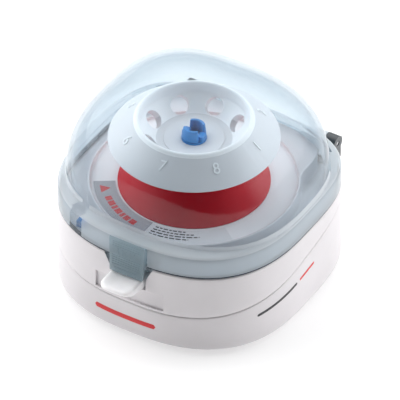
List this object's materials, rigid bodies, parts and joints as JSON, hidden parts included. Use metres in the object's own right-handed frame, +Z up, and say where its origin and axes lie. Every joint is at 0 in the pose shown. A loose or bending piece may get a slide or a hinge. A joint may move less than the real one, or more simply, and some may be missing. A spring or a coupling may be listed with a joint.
{
  "type": "microcentrifuge",
  "caption": "Bench microcentrifuge with a fixed-angle tube rotor on a covered motor, under a hinged clear domed lid with a press latch.",
  "frame": {"origin": "on the bench surface, under the middle of the footprint", "axes": "+Z up along the rotor axis, +Y from the latch to the hinge, +X to the right seen from the latch"},
  "size_m": [0.147, 0.1679, 0.1317],
  "materials": {
    "housing_white": "satin moulded",
    "cover_red": "satin moulded",
    "label_grey": "printed film",
    "rubber_black": "matt rubber",
    "steel": "plated",
    "plastic_black": "moulded",
    "motor_steel": "zinc plated",
    "magnet_grey": "ferrite",
    "copper": "enamelled winding",
    "hub_blue": "moulded",
    "rotor_grey": "satin moulded",
    "board_green": "solder mask",
    "hinge_dark": "moulded",
    "lid_clear": "clear tinted polycarbonate"
  },
  "bodies": {
    "base": {"lower_housing": "housing_white", "upper_housing": "housing_white", "motor_cover": "cover_red", "deck_label": "label_grey", "rubber_feet": "rubber_black", "housing_screws": "steel", "motor_mount": "steel", "vibration_mounts": "rubber_black", "mount_screws": "steel", "motor_screws": "steel", "motor_end_cap": "plastic_black", "motor_can": "motor_steel", "motor_magnets": "magnet_grey", "lower_bearing": "steel", "upper_bearing": "steel", "circuit_board": "board_green", "board_components": "plastic_black", "dc_inlet": "plastic_black", "power_switch_frame": "plastic_black", "lid_switch": "plastic_black", "latch_catch": "steel", "hinge_brackets": "hinge_dark", "bracket_screws": "steel"},
    "spindle": {"motor_armature": "copper", "motor_shaft": "steel", "drive_hub": "hub_blue", "rotor": "rotor_grey"},
    "prong_front": {"clip_prong_front": "hub_blue"},
    "prong_rear": {"clip_prong_rear": "hub_blue"},
    "rocker": {"power_rocker": "plastic_black"},
    "switch_plunger": {"lid_switch_plunger": "hub_blue"},
    "lid": {"lid": "lid_clear", "hinge_pins": "steel"},
    "latch": {"latch_tab": "lid_clear"}
  },
  "joints": [
    {"name": "lid_hinge", "type": "hinge", "parent": "base", "child": "lid", "pos_m": [0, 0.079, 0.0607], "axis": [-1, 0, 0], "range_deg": [0, 100]},
    {"name": "latch_flex", "type": "hinge", "parent": "lid", "child": "latch", "pos_m": [0, -0.0662, 0.0679], "axis": [1, 0, 0], "range_deg": [0, 5], "stiffness_Nm_per_rad": 0.5},
    {"name": "rotor_spin", "type": "hinge", "parent": "base", "child": "spindle", "pos_m": [0, 0.004, 0.0925], "axis": [0, 0, 1], "continuous": true},
    {"name": "clip_squeeze", "type": "hinge", "parent": "spindle", "child": "prong_front", "pos_m": [0, -0.0016, 0.0979], "axis": [-1, 0, 0], "range_deg": [0, 5], "stiffness_Nm_per_rad": 0.3},
    {"name": "clip_squeeze_rear", "type": "hinge", "parent": "spindle", "child": "prong_rear", "pos_m": [0, 0.0096, 0.0979], "axis": [1, 0, 0], "range_deg": [0, 5], "stiffness_Nm_per_rad": 0.3},
    {"name": "power_switch", "type": "hinge", "parent": "base", "child": "rocker", "pos_m": [-0.022, 0.0776, 0.0221], "axis": [1, 0, 0], "range_deg": [0, 16]},
    {"name": "lid_switch_travel", "type": "slide", "parent": "base", "child": "switch_plunger", "axis": [0, 0, -1], "range_m": [0, 0.0025], "stiffness_N_per_m": 200}
  ]
}
